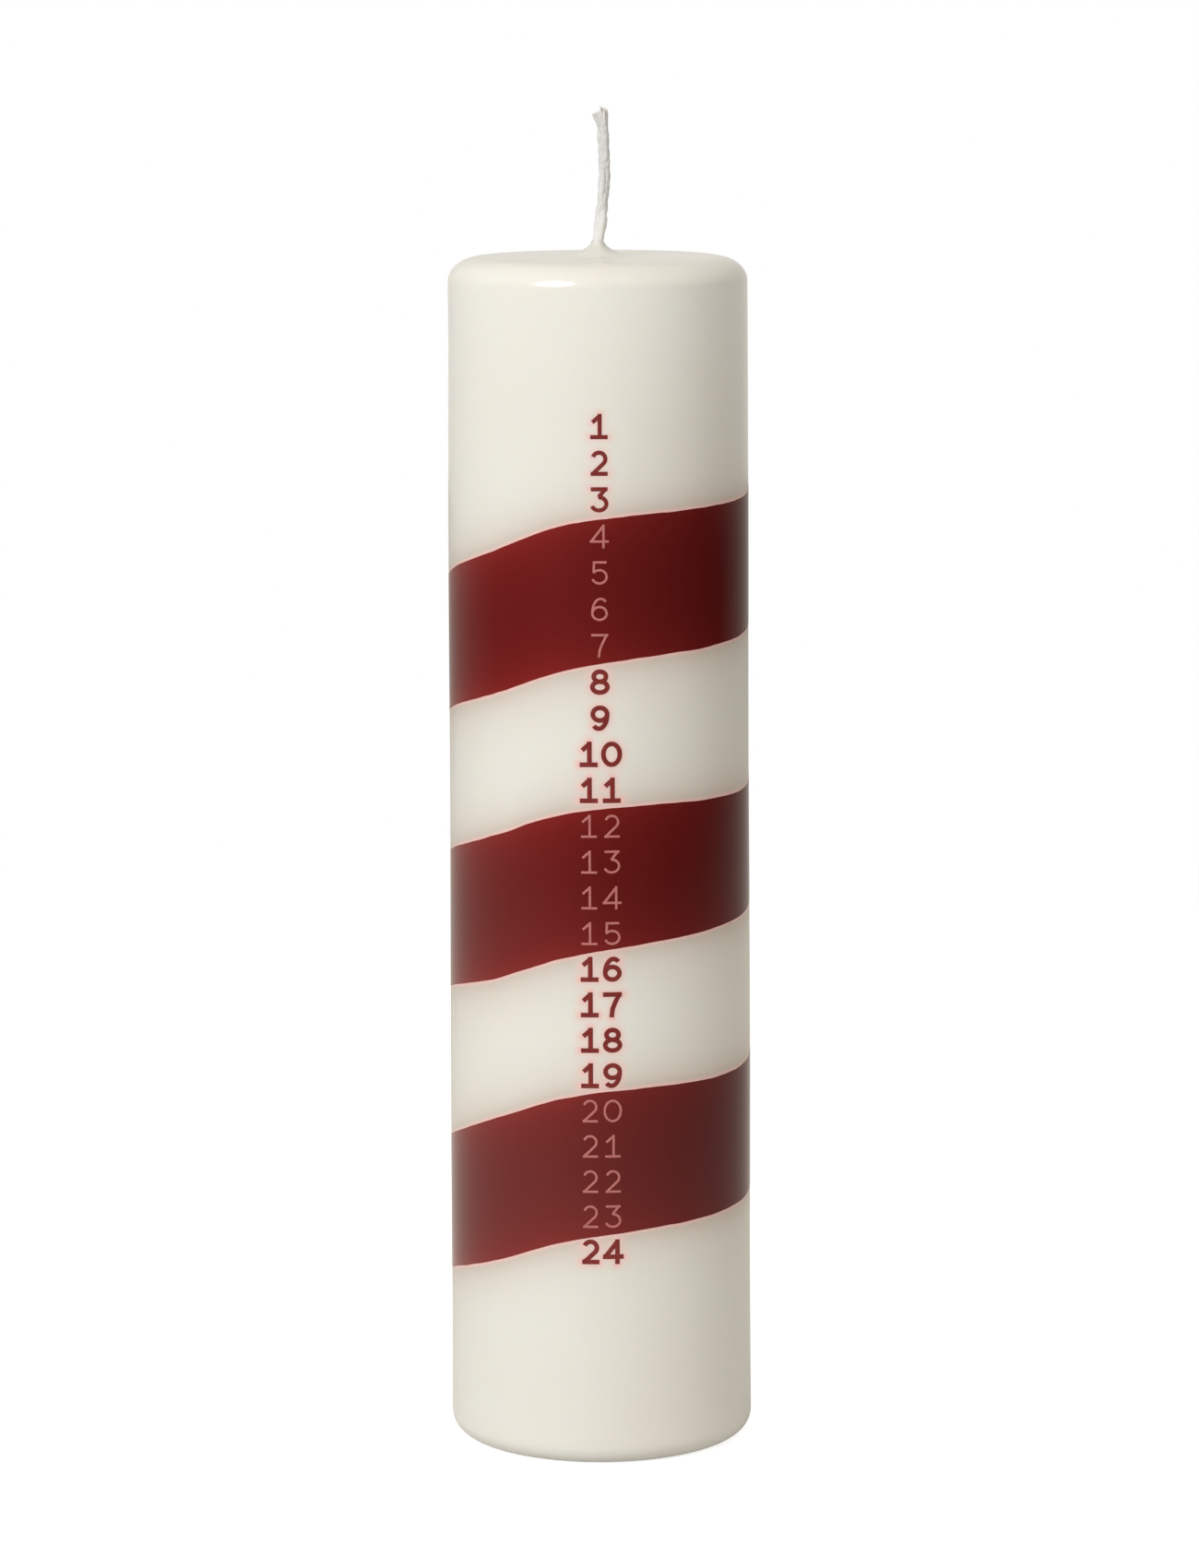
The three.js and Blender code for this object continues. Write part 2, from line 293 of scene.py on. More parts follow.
body = {
    "height": 239.85,
    "baseRadius": 30.7,
    "topRadius": 29.8,
    "shoulderAcross": 6.4,
    "shoulderDrop": 4.9,
    "crownRise": 0.05,
    "baseRound": 3.9,
    "wall": 2.0,
    "openingRadius": 21.0,  # of the opening in the base
    "wickHole": 1.55,
    "collarSpread": 8.0,  # radius of the foot of the cone of wax round the wick
    "collarHeight": 2.85,
    "collarRim": 1.36,
    "collarCurve": 1.7,  # 2 is a quarter of an ellipse, less climbs straighter
    "collarLean": 0.02,
    "collarWave": 0.16,
    "collarRipple": 0.1,
    "lipIn": 0.12,  # the lip of the cone turns in and down against the wick
    "lipDrop": 0.05,
    "throatIn": 0.1,
    "throatRise": 1.0,
    "ringGap": 1.2,  # between the rings of faces on the side
    "steps": 180,
    "wave": 0.05,
    "waveStart": (4, 20),  # the waves grow and die away between these heights
    "waveEnd": (222, 234),
}
# Each wave of the side: its share of the height, how many go round the candle, how slowly it turns as it
# climbs, and where it starts.
dipWaves = [(1.0, 2, 17, 0.0), (0.7, 3, -23, 1.3), (0.5, 5, 41, 0.6)]
topHeight = body["height"] - body["crownRise"]


def plainRadius(height):
    return body["baseRadius"] + (body["topRadius"] - body["baseRadius"]) * height / body["height"]


def dipWave(angle, height):
    rise = 0.0
    for share, times, climb, start in dipWaves:
        rise += share * math.sin(times * angle + height / climb + start)
    fade = blendValue(*body["waveStart"], height) * (1 - blendValue(*body["waveEnd"], height))
    return body["wave"] * rise * fade


# The place at an angle from the front, to the right, and a height, lifted off the wax.
def onCandle(angle, height, lift):
    radius = plainRadius(height) + dipWave(angle, height) + lift
    return Vector((radius * math.sin(angle), -radius * math.cos(angle), height))


def angleOf(point):
    return math.atan2(point.x, -point.y)


# Stripe: one strip of red wax in an uneven spiral, three turns from the back seam to the back seam

stripe = {
    "lead": 57.0,  # rise in one turn
    "turns": 3,
    "foot": 42.0,  # height of the lowest turn at the front, from which its edges are measured
    "seam": -180,
    "lift": 0.03,
    "sunk": 0.08,
    "waver": 0.1,
    "slowWaver": 9,  # degrees of one slow waver of the cut edge
    "quickWaver": 3.5,
    "quickShare": 0.6,
    "topSeed": 1.5,
    "bottomSeed": 8.5,
    "step": 2,
    "rows": 16,
    "crease": 35,
}
# Heights of both edges above the foot of each turn, lowest turn first, at these angles from the front.
edgeAngles = [-105, -78, -45, -15, 12, 50, 78, 105]
topEdge = [
    [17.2, 21.2, 27.4, 33.1, 35.0, 35.4, 36.5, 40.1],
    [19.2, 22.8, 27.7, 33.1, 34.7, 34.8, 35.3, 38.9],
    [17.5, 22.0, 27.3, 33.0, 35.0, 36.0, 37.0, 40.6],
]
bottomEdge = [
    [-10.6, -6.7, -1.7, 3.9, 6.2, 7.5, 8.6, 12.2],
    [-9.0, -5.3, -1.2, 4.3, 6.9, 8.8, 10.3, 13.9],
    [-9.9, -5.6, -1.0, 4.4, 6.9, 8.4, 9.7, 13.3],
]
stripeEnd = stripe["seam"] + 360 * stripe["turns"]


# The edge's measured places as angle and height, with one more turn before the first and after the last.
def edgeKnots(edge):
    knots = []
    for turn in range(-1, stripe["turns"] + 1):
        row = edge[min(max(turn, 0), stripe["turns"] - 1)]
        for angle, rise in zip(edgeAngles, row):
            knots.append((angle + 360 * turn, stripe["foot"] + stripe["lead"] * turn + rise))
    return knots


# A smooth curve through the measured places.
def edgeHeight(knots, angle):
    index = bisect.bisect_left([knot[0] for knot in knots], angle) - 1
    before, start, end, after = knots[index - 1:index + 3]
    span = end[0] - start[0]
    share = (angle - start[0]) / span
    leaving = (end[1] - before[1]) / (end[0] - before[0]) * span
    arriving = (after[1] - start[1]) / (after[0] - start[0]) * span
    ease = share * share * (3 - 2 * share)
    bend = leaving * share * (1 - share) ** 2 - arriving * share * share * (1 - share)
    return start[1] + (end[1] - start[1]) * ease + bend


# The edge at every degree of the strip, with the small waver of a cut made by hand.
def edgeLine(edge, seed):
    knots = edgeKnots(edge)
    line = []
    for angle in range(stripe["seam"], stripeEnd + 1):
        slow = noise.noise(Vector((angle / stripe["slowWaver"], seed, 0)))
        quick = noise.noise(Vector((angle / stripe["quickWaver"], seed, 5)))
        waver = slow + stripe["quickShare"] * quick
        line.append(edgeHeight(knots, angle) + stripe["waver"] * waver)
    return line


topLine = edgeLine(topEdge, stripe["topSeed"])
bottomLine = edgeLine(bottomEdge, stripe["bottomSeed"])


def lineAt(line, angle):
    place = min(max(angle - stripe["seam"], 0), len(line) - 1.001)  # stops just short of the last degree
    index = int(place)
    return line[index] + (line[index + 1] - line[index]) * (place - index)


# Millimetres from a place on the wax to the stripe: below zero inside the stripe.
def stripeGap(angle, height):
    degrees = math.degrees(angle)
    nearest = math.inf
    for turn in range(-1, stripe["turns"] + 1):
        along = degrees + 360 * turn
        inside = min(max(along, stripe["seam"]), stripeEnd)
        past = math.radians(abs(along - inside)) * body["baseRadius"]
        off = max(lineAt(bottomLine, inside) - height, height - lineAt(topLine, inside))
        gap = math.hypot(past, max(off, 0)) if past > 0 else off
        nearest = min(nearest, gap)
    return nearest


# Numbers: each digit is one or more pen strokes, in units of half its height

digits = {
    "count": 24,
    "firstHeight": 208.5,
    "pitch": 7.145,
    "height": 4.13,  # between the middles of the strokes
    "advance": 4.5,
    "shift": -0.28,
    "redPen": 0.93,
    "thinRedPen": 0.81,
    "thinUntil": 3,
    "palePen": 0.5,
    "inkRise": 0.035,
    "inkLift": 0.012,
    "arcStep": 12,  # degrees between the points of an arc
    "pointGap": 0.3,
    "penRoundness": 2,
    "pinkRimReach": 1.6,  # how far from the red ink the wax knows its distance to it
    "fineMargin": 2,  # the finely divided wax goes this far past the digits
    "fineCuts": 4,
    "frontShare": 0.9,  # it lies further forward than this share of the candle's radius
}


def arcPoints(x, y, across, up, start, stop):
    count = max(int(abs(stop - start) / digits["arcStep"]), 3)
    points = []
    for step in range(count + 1):
        angle = math.radians(start + (stop - start) * step / count)
        points.append((x + across * math.cos(angle), y + up * math.sin(angle)))
    return points


# A stroke is its points and whether it closes.
def bowl(x, y, across, up):
    return arcPoints(x, y, across, up, 0, 360)[:-1], True


def stroke(*points):
    return points, False


# Straight ends are drawn out by the pen's radius, so that corners and feet come out full.
def strokesOf(digit, end):
    six = [
        bowl(0, -0.39, 0.68, 0.61),
        stroke(*arcPoints(0.1, -0.35, 0.78, 1.35, 180, 90)[:-1], *arcPoints(0.1, 0.45, 0.55, 0.55, 90, 30)),
    ]
    strokes = {
        0: [bowl(0, 0, 0.78, 1)],
        1: [
            stroke((-0.62, 0.38), (0.07, 1)),
            stroke((0.07, 1 + end), (0.07, -1)),
            stroke((-0.63 - end, -1), (0.63 + end, -1)),
        ],
        2: [
            stroke(*arcPoints(0, 0.4, 0.6, 0.6, 160, -46), (-0.6, -1)),
            stroke((-0.6 - end, -1), (0.62 + end, -1)),
        ],
        3: [
            stroke((-0.6 - end, 1), (0.6 + end, 1)),
            stroke((0.56, 1), (-0.06, 0.24)),
            stroke(*arcPoints(-0.02, -0.38, 0.7, 0.62, 95, -160)),
        ],
        4: [
            stroke((0.4, 1), (-0.76, -0.49)),
            stroke((-0.78 - end, -0.49), (0.78 + end, -0.49)),
            stroke((0.4, 1 + end), (0.4, -1 - end)),
        ],
        5: [
            stroke((0.55 + end, 1), (-0.5 - end, 1)),
            stroke((-0.5, 1), (-0.54, 0)),
            stroke(*arcPoints(0, -0.37, 0.69, 0.63, 142, -160)),
        ],
        6: six,
        7: [
            stroke((-0.68 - end, 1), (0.68 + end, 1)),
            stroke((0.66, 1), (0.28, 0.25), (0.02, -0.4), (-0.08, -1 - end)),
        ],
        8: [bowl(0, 0.52, 0.58, 0.48), bowl(0, -0.48, 0.71, 0.52)],
        9: [([(-x, -y) for x, y in points], closed) for points, closed in six],
    }
    return strokes[digit]


# The strokes of a digit in millimetres, with points close enough together to follow the round side.
def penPaths(digit, pen):
    half = digits["height"] / 2
    paths = []
    for points, closed in strokesOf(digit, pen / 2 / half):
        corners = [Vector((x * half, y * half)) for x, y in points]
        if closed:
            corners.append(corners[0])
        path = []
        for start, end in zip(corners, corners[1:]):
            pieces = max(int((end - start).length / digits["pointGap"]), 1)
            path.extend(start.lerp(end, step / pieces) for step in range(pieces))
        if not closed:
            path.append(corners[-1])
        paths.append((path, closed))
    return paths


# Where each digit stands, how far right of the candle's middle and how high, and the pen that draws it.
def placeDigits():
    places = []
    for number in range(1, digits["count"] + 1):
        height = digits["firstHeight"] - digits["pitch"] * (number - 1)
        pale = stripeGap(0.0, height) < 0
        redPen = digits["thinRedPen"] if number <= digits["thinUntil"] else digits["redPen"]
        figures = [int(figure) for figure in str(number)]
        endings = [""] if len(figures) == 1 else ["_tens", "_units"]
        for order, figure in enumerate(figures):
            places.append({
                "name": f"{number:02d}{endings[order]}",
                "figure": figure,
                "pale": pale,
                "pen": digits["palePen"] if pale else redPen,
                "across": digits["shift"] + digits["advance"] * (order - (len(figures) - 1) / 2),
                "height": height,
            })
    return places


digitPlaces = placeDigits()
redPlaces = [place for place in digitPlaces if not place["pale"]]


# Points along the red digits' strokes, listed under each square millimetre of wax that has them in reach.
def redPointsNear(reach):
    squares = {}
    for place in redPlaces:
        for path, closed in penPaths(place["figure"], place["pen"]):
            for point in path:
                x = point.x + place["across"]
                y = point.y + place["height"]
                for column in range(math.floor(x - reach), math.floor(x + reach) + 1):
                    for row in range(math.floor(y - reach), math.floor(y + reach) + 1):
                        squares.setdefault((column, row), []).append(Vector((x, y)))
    return squares


# Millimetres from each vertex to the red ink, or a large number where no ink is in reach.
def inkGaps(piece):
    squares = redPointsNear(digits["pinkRimReach"])
    farAway = 10 * digits["pinkRimReach"]
    gaps = []
    for vertex in piece.data.vertices:
        across = angleOf(vertex.co) * plainRadius(vertex.co.z)
        place = Vector((across, vertex.co.z))
        near = squares.get((math.floor(place.x), math.floor(place.y)), [])
        gaps.append(min([(point - place).length for point in near] + [farAway]) - digits["redPen"] / 2)
    return gaps


# Materials of the wax

gloss = {
    "smears": {"scale": 55, "stretch": (1, 1, 0.3), "low": 0.3, "high": 0.7, "least": 0.1, "most": 0.15},
    "ior": 1.44,
    "glow": 0.07,
    "glowRoughness": 0.4,
    "ripples": {"scale": 70, "detail": 2},
    "grain": {"scale": 900, "detail": 2},
    "grainShare": 0.04,
    "bump": {"strength": 0.3, "depth": 0.05},
}


# The gloss of dipped wax: a clear reflection, a faint wide glow round it, slow ripples and a fine grain.
def addDipGloss(tree, shader):
    tree.links.new(patches(tree, **gloss["smears"]), shader.inputs["Roughness"])
    shader.inputs["IOR"].default_value = gloss["ior"]
    shader.inputs["Coat Weight"].default_value = gloss["glow"]
    shader.inputs["Coat Roughness"].default_value = gloss["glowRoughness"]
    grain = mathNode(tree, "MULTIPLY", objectNoise(tree, **gloss["grain"]), gloss["grainShare"])
    relief = mathNode(tree, "ADD", objectNoise(tree, **gloss["ripples"]), grain)
    addBump(tree, shader, relief, **gloss["bump"])


ivoryLook = {
    "colour": (241, 239, 229),
    "cloudColour": (240, 236, 224),
    "clouds": {"scale": 22, "low": 0.35, "high": 0.7},
    "paintedLightColour": (252, 250, 241),  # painted light: the wax below the shoulder is painted brighter, most towards the right, for light soaking in through the shoulder
    "litRise": (207, 235),
    "litFade": (233.5, 238),
    "litAcross": (-12, 22),
    "litLeast": 0.15,
    "paintedShadeColour": (213, 196, 182),  # painted shade on the ivory beside the stripe, for light lost under the red wax
    "paintedShadeReach": 3.8,
    "pinkRimColour": (252, 206, 197),  # pink along the stripe's edges and round the red digits
    "lineSpan": (0.3, 0.8),
    "lineStrength": 0.85,
    "inkReach": 0.68,
    "inkSpan": (160, 190),  # below and above these heights the pink round the ink has its two strengths
    "inkStrengths": (0.9, 0.6),
    "coneShadeColour": (220, 217, 208),  # painted shade on the cone of wax round the wick, greyer towards its top
    "coneShadeSpan": (0.3, 1.6),
    "coneShadeStrength": 0.8,
    "soak": 0.3,
    "soakRadius": (1.0, 0.75, 0.5),
    "soakDepth": 0.8,
}


def makeIvoryWax():
    material, tree, shader = newMaterial("ivoryWax")
    place = objectParts(tree)
    clouds = patches(tree, **ivoryLook["clouds"])
    colour = mixColour(tree, clouds, paint(ivoryLook["colour"]), paint(ivoryLook["cloudColour"]))

    # Painted light: brighter below the shoulder, most towards the right.
    rising = between(tree, place["Z"], *ivoryLook["litRise"], 0.0, 1.0)
    fading = between(tree, place["Z"], *ivoryLook["litFade"], 1.0, 0.0)
    aside = between(tree, place["X"], *ivoryLook["litAcross"], ivoryLook["litLeast"], 1.0)
    lit = mathNode(tree, "MULTIPLY", mathNode(tree, "MULTIPLY", rising, fading), aside)
    colour = mixColour(tree, lit, colour, paint(ivoryLook["paintedLightColour"]))

    # Painted shade: darker and pinker close to the stripe.
    shade = fadeOut(tree, "stripeGap", ivoryLook["paintedShadeReach"])
    colour = mixColour(tree, shade, colour, paint(ivoryLook["paintedShadeColour"]))

    edge = addNode(tree, "ShaderNodeAttribute", attribute_name="stripeGap")
    line = spread(tree, edge.outputs["Fac"], *ivoryLook["lineSpan"], ivoryLook["lineStrength"], 0.0)
    strength = between(tree, place["Z"], *ivoryLook["inkSpan"], *ivoryLook["inkStrengths"])
    halo = mathNode(tree, "MULTIPLY", fadeOut(tree, "inkGap", ivoryLook["inkReach"]), strength)
    pinkRim = mathNode(tree, "MAXIMUM", line, halo)
    colour = mixColour(tree, pinkRim, colour, paint(ivoryLook["pinkRimColour"]))

    # Painted shade: greyer up the cone of wax round the wick.
    low, high = (body["height"] + rise for rise in ivoryLook["coneShadeSpan"])
    climb = between(tree, place["Z"], low, high, 0.0, ivoryLook["coneShadeStrength"])
    colour = mixColour(tree, climb, colour, paint(ivoryLook["coneShadeColour"]))

    tree.links.new(colour, shader.inputs["Base Color"])
    shader.inputs["Subsurface Weight"].default_value = ivoryLook["soak"]
    shader.inputs["Subsurface Radius"].default_value = ivoryLook["soakRadius"]
    shader.inputs["Subsurface Scale"].default_value = ivoryLook["soakDepth"] * mm
    addDipGloss(tree, shader)
    return material


redLook = {
    "colour": (109, 27, 25),
    "cloudColour": (104, 24, 22),
    "clouds": {"scale": 30, "low": 0.4, "high": 0.75, "most": 0.6},
    # lighter near the stripe's edges: partly thinner red, partly painted light
    "thinLitEdgeColour": (134, 37, 34),
    "edgeReach": 4.5,
    "rightShadeColour": (80, 12, 10),  # painted shade: the red is painted darker towards the right, away from the key light
    "rightShadeSpan": (-10, 32),
    "rightShadeStrength": 0.9,
}


def makeRedWax():
    material, tree, shader = newMaterial("redWax")
    clouds = patches(tree, **redLook["clouds"])
    colour = mixColour(tree, clouds, paint(redLook["colour"]), paint(redLook["cloudColour"]))
    # Lighter near the edges: partly thinner red over the ivory, partly painted light scattered in from the
    # ivory beside it.
    thinLitEdge = fadeOut(tree, "edgeGap", redLook["edgeReach"])
    colour = mixColour(tree, thinLitEdge, colour, paint(redLook["thinLitEdgeColour"]))
    # Painted shade: darker towards the right.
    rightShade = between(tree, objectParts(tree)["X"], *redLook["rightShadeSpan"], 0.0, redLook["rightShadeStrength"])
    colour = mixColour(tree, rightShade, colour, paint(redLook["rightShadeColour"]))
    tree.links.new(colour, shader.inputs["Base Color"])
    addDipGloss(tree, shader)
    return material


# Ivory overdip: a shell of wax with an opening in its base and a hole for the wick

def overdipProfile():
    shoulder = plainRadius(topHeight - body["shoulderDrop"])
    shoulderCentre = shoulder - body["shoulderAcross"]
    baseCentre = plainRadius(body["baseRound"]) - body["baseRound"]
    collarTop = body["height"] + body["collarHeight"]
    innerTop = topHeight - body["wall"]
    innerShoulder = shoulder - body["wall"]
    innerBase = plainRadius(body["baseRound"]) - body["wall"]
    profile = []
    baseSteps = 5
    for step in range(baseSteps):
        share = step / baseSteps
        profile.append((body["openingRadius"] + (baseCentre - body["openingRadius"]) * share, 0.0))
    roundSteps = 12
    for step in range(roundSteps + 1):
        angle = math.radians(-90 + 90 * step / roundSteps)
        across = body["baseRound"] * math.cos(angle)
        profile.append((baseCentre + across, body["baseRound"] * (1 + math.sin(angle))))
    low = body["baseRound"]
    high = topHeight - body["shoulderDrop"]
    rings = int((high - low) / body["ringGap"])
    for step in range(1, rings):
        height = low + (high - low) * step / rings
        profile.append((plainRadius(height), height))
    shoulderSteps = 18
    for step in range(shoulderSteps + 1):
        angle = math.radians(90 * step / shoulderSteps)
        across = body["shoulderAcross"] * math.cos(angle)
        profile.append((shoulderCentre + across, high + body["shoulderDrop"] * math.sin(angle)))
    crownSteps = 9
    for step in range(1, crownSteps):
        share = step / crownSteps
        radius = shoulderCentre + (body["collarSpread"] - shoulderCentre) * share
        profile.append((radius, topHeight + body["crownRise"] * blendValue(0, 1, share)))
    collarSteps = 20
    collarAcross = body["collarSpread"] - body["collarRim"]
    bend = 2 / body["collarCurve"]
    for step in range(collarSteps + 1):
        angle = math.radians(90 * step / collarSteps)
        radius = body["collarSpread"] - collarAcross * math.sin(angle) ** bend
        profile.append((radius, collarTop - body["collarHeight"] * abs(math.cos(angle)) ** bend))
    profile.extend([
        (body["collarRim"] - body["lipIn"], collarTop - body["lipDrop"]),
        (body["collarRim"] - body["throatIn"], body["height"] + body["throatRise"]),
        (body["wickHole"], body["height"]),
        (body["wickHole"], innerTop),
        (innerShoulder - body["shoulderDrop"], innerTop),
        (innerShoulder, innerTop - body["shoulderDrop"]),
        (innerBase, body["baseRound"]),
        (innerBase - body["baseRound"] + body["wall"], body["wall"]),
        (body["openingRadius"], body["wall"]),
    ])
    return profile


# The wax close to the red digits is divided finely enough to carry the pink round each stroke.
def divideNearDigits(piece):
    pick(piece)
    bpy.ops.object.mode_set(mode="EDIT")
    bpy.ops.mesh.select_all(action="DESELECT")
    bpy.ops.mesh.select_mode(type="FACE")
    bpy.ops.object.mode_set(mode="OBJECT")
    reach = digits["advance"] + digits["fineMargin"]
    forward = body["topRadius"] * digits["frontShare"]
    half = digits["pitch"] / 2
    for polygon in piece.data.polygons:
        centre = polygon.center
        front = centre.y < -forward and abs(centre.x) < reach
        polygon.select = front and any(abs(centre.z - place["height"]) < half for place in redPlaces)
    bpy.ops.object.mode_set(mode="EDIT")
    bpy.ops.mesh.subdivide(number_cuts=digits["fineCuts"])
    bpy.ops.object.mode_set(mode="OBJECT")


# The cone of wax climbs the wick unevenly and leans with it, and the side has the waves of dipping.
def shapeOverdip(point):
    radius = math.hypot(point.x, point.y)
    angle = angleOf(point)
    height = point.z
    if height > body["height"] and radius < body["collarSpread"]:
        climb = (height - body["height"]) / body["collarHeight"]
        waves = body["collarWave"] * math.sin(2 * angle + 0.8) + body["collarRipple"] * math.sin(5 * angle)
        return Vector((point.x + body["collarLean"] * climb ** 2, point.y, height + climb * waves))
    outside = body["baseRound"] < height < topHeight - body["shoulderDrop"]
    if outside and radius > plainRadius(height) - body["wall"] / 2:
        return onCandle(angle, height, 0.0)
    return Vector((point.x, point.y, height))


def addOverdip():
    piece = spinProfile(overdipProfile(), body["steps"])
    divideNearDigits(piece)
    moveVertices(piece, shapeOverdip)
    keepValues(piece, "stripeGap", [stripeGap(angleOf(v.co), v.co.z) for v in piece.data.vertices])
    keepValues(piece, "inkGap", inkGaps(piece))
    finishPiece(piece, "ivory_wax", makeIvoryWax(), "ivory_wax", "ivory_overdip")
    print("overdip:", len(piece.data.polygons), "faces")


addOverdip()


# Red stripe: a grid wound round the candle, with each vertex's distance from the nearer long edge

def addStripe():
    startFresh()
    columns = 360 * stripe["turns"] // stripe["step"]
    bpy.ops.mesh.primitive_grid_add(x_subdivisions=columns, y_subdivisions=stripe["rows"], size=1)
    piece = bpy.context.object
    gaps = []
    for vertex in piece.data.vertices:
        angle = stripe["seam"] + (vertex.co.x + 0.5) * 360 * stripe["turns"]
        low = lineAt(bottomLine, angle)
        high = lineAt(topLine, angle)
        height = low + (high - low) * (vertex.co.y + 0.5)
        gaps.append(min(height - low, high - height))
        vertex.co = onCandle(math.radians(angle), height, stripe["lift"])
    keepValues(piece, "edgeGap", gaps)
    applyModifier(piece, "SOLIDIFY", thickness=stripe["sunk"], offset=-1.0)
    faceOut(piece)
    finishPiece(piece, "stripe_wax", makeRedWax(), "red_wax", "red_stripe", crease=stripe["crease"])
    print("stripe:", len(piece.data.polygons), "faces")


addStripe()


# Ink of the numbers: round pen strokes pressed flat and laid on the wax

inks = {
    "redInk": {"slot": "red_ink", "colour": (131, 35, 29), "wornColour": (148, 57, 50)},
    "paleInk": {"slot": "pale_ink", "colour": (197, 118, 112), "wornColour": (178, 99, 94)},
}
inkLook = {
    "specks": {"scale": 900, "roughness": 0.6, "low": 0.45, "high": 0.7, "most": 0.6},
    "roughness": 0.42,
    "grain": {"scale": 1500, "detail": 2},
    "bump": {"strength": 0.2, "depth": 0.02},
}


def makeInk(name):
    material, tree, shader = newMaterial(name)
    specks = patches(tree, **inkLook["specks"])
    colour = mixColour(tree, specks, paint(inks[name]["colour"]), paint(inks[name]["wornColour"]))
    tree.links.new(colour, shader.inputs["Base Color"])
    shader.inputs["Roughness"].default_value = inkLook["roughness"]
    addBump(tree, shader, objectNoise(tree, **inkLook["grain"]), **inkLook["bump"])
    return material


def drawDigit(figure, pen):
    lines = []
    for path, closed in penPaths(figure, pen):
        lines.append(([(place.x, 0, place.y) for place in path], [1.0] * len(path), closed))
    drawn = drawLines("penStrokes", lines, pen / 2, digits["penRoundness"])
    press = digits["inkRise"] / (pen / 2)
    moveVertices(drawn, lambda point: Vector((point.x, point.y * press, point.z)))
    return drawn


def layOnWax(piece, across, height, lift):
    def onWax(point):
        rise = height + point.z
        return onCandle((across + point.x) / plainRadius(rise), rise, lift - point.y)

    moveVertices(piece, onWax)


def addNumbers():
    materials = {name: makeInk(name) for name in inks}
    drawn = {}
    for place in digitPlaces:
        key = (place["figure"], place["pen"])
        if key not in drawn:
            drawn[key] = drawDigit(*key)
        pick(drawn[key])
        bpy.ops.object.duplicate()
        piece = bpy.context.object
        lift = digits["inkLift"] + (stripe["lift"] if place["pale"] else 0.0)
        layOnWax(piece, place["across"], place["height"], lift)
        name = place["name"]
        ink = "paleInk" if place["pale"] else "redInk"
        finishPiece(piece, "ink_" + name, materials[ink], inks[ink]["slot"], "number_" + name)
    for pattern in drawn.values():
        bpy.data.objects.remove(pattern)
    print("numbers:", len(digitPlaces), "digits")


addNumbers()


# Wick: three strands of cotton plaited round one another, soaked in wax, with a frayed end

wick = {
    "foot": 1.6,
    "shows": body["height"] - 1,  # inside the candle it is a plain round rod
    "bendStart": 241.5,
    "tip": 268.3,
    "footOffset": -0.25,
    "offsetReach": 3,  # the offset grows over this height, below where the bend starts
    "lean": 1.8,
    "sway": 1.5,
    "tipOffset": 1.0,
    "radius": 1.14,
    "strandRadius": 0.74,
    "plaitAcross": 0.5,
    "plaitDepth": 0.32,
    "plaitPitch": 46.5,
    "plaitStart": 26.1,
    "swellHeight": 246.6,
    "swellReach": 2.6,
    "swell": 0.2,
    "slim": 0.95,
    "soaked": 0.35,  # how far wax rounds off the plait
    "waxedLow": 243.5,
    "waxedHigh": 249.0,
    "waxedRelief": 0.35,  # how much of the yarns' relief the wax leaves
    "tipTaper": 0.25,
    "tipTaperReach": 1.0,
    "sides": 96,
    "plainSteps": 12,
    "ringGap": 0.12,
}
# Relief of the cotton: its height, how fine it is round the wick, how long it is along it, and where its
# pattern starts.
lumps = (0.11, 0.9, 2.1, (0, 0))
yarns = [
    (0.15, 1.5, 0.9, (4, 0)),  # crossings of the strands
    (0.07, 4, 1.8, (0, 7)),  # threads along them
    (0.03, 9, 0.625, (2, 3)),  # fuzz
]
fray = {
    "seed": 24,
    "length": 2.8,
    "root": 0.8,
    "curve": 1.4,
    "curl": 0.12,
    "curlTurns": 3,
    "taper": 0.75,
    "steps": 9,
    "hairs": 90,
    "hairsFrom": 2,  # above where the wax starts to thin
    "hairsUntil": 1,  # below the tip
    "hairLength": (0.7, 2.0),
    "hairLift": (0.04, 0.3),
    "hairDrift": 0.5,
    "hairRadius": 0.032,
    "hairSunk": 0.04,
    "hairSteps": 6,
    "hairTaper": 0.6,
    "tipHairs": 26,
    "tipHairStart": 5,  # the step of its yarn end at which a hair at the tip leaves it
    "tipHairAside": (-0.25, 0.25),
    "tipHairUp": (-0.3, 0.55),
    "tipHairRadius": 0.035,
}
# Yarn ends at the tip: where each leaves the wick, how far it spreads, both to the right and to the back,
# how high it ends and its radius.
yarnEnds = [
    (-1.0, -0.35, -1.25, -0.3, 267.7, 0.42),
    (-1.05, 0.1, -1.3, 0.1, 268.0, 0.4),
    (-0.9, -0.6, -0.95, -0.3, 267.5, 0.4),
    (-0.8, 0.5, -0.9, 0.3, 268.1, 0.4),
    (-0.6, -0.5, -0.85, -0.25, 268.1, 0.44),
    (-0.5, -0.1, -0.5, -0.15, 268.4, 0.46),
    (-0.2, 0.3, -0.2, 0.2, 268.7, 0.44),
    (0.0, -0.4, -0.55, -0.2, 269.5, 0.3),
    (0.1, 0.15, -0.25, 0.1, 269.2, 0.36),
    (0.2, -0.2, 0.0, -0.1, 268.9, 0.42),
    (0.3, -0.7, 0.1, -0.2, 268.6, 0.4),
    (0.3, 0.6, 0.1, 0.3, 268.8, 0.4),
    (0.55, 0.0, 0.2, 0.0, 268.9, 0.44),
    (0.7, -0.35, 0.18, -0.1, 268.7, 0.4),
    (0.8, 0.2, 0.2, 0.1, 268.6, 0.38),
]
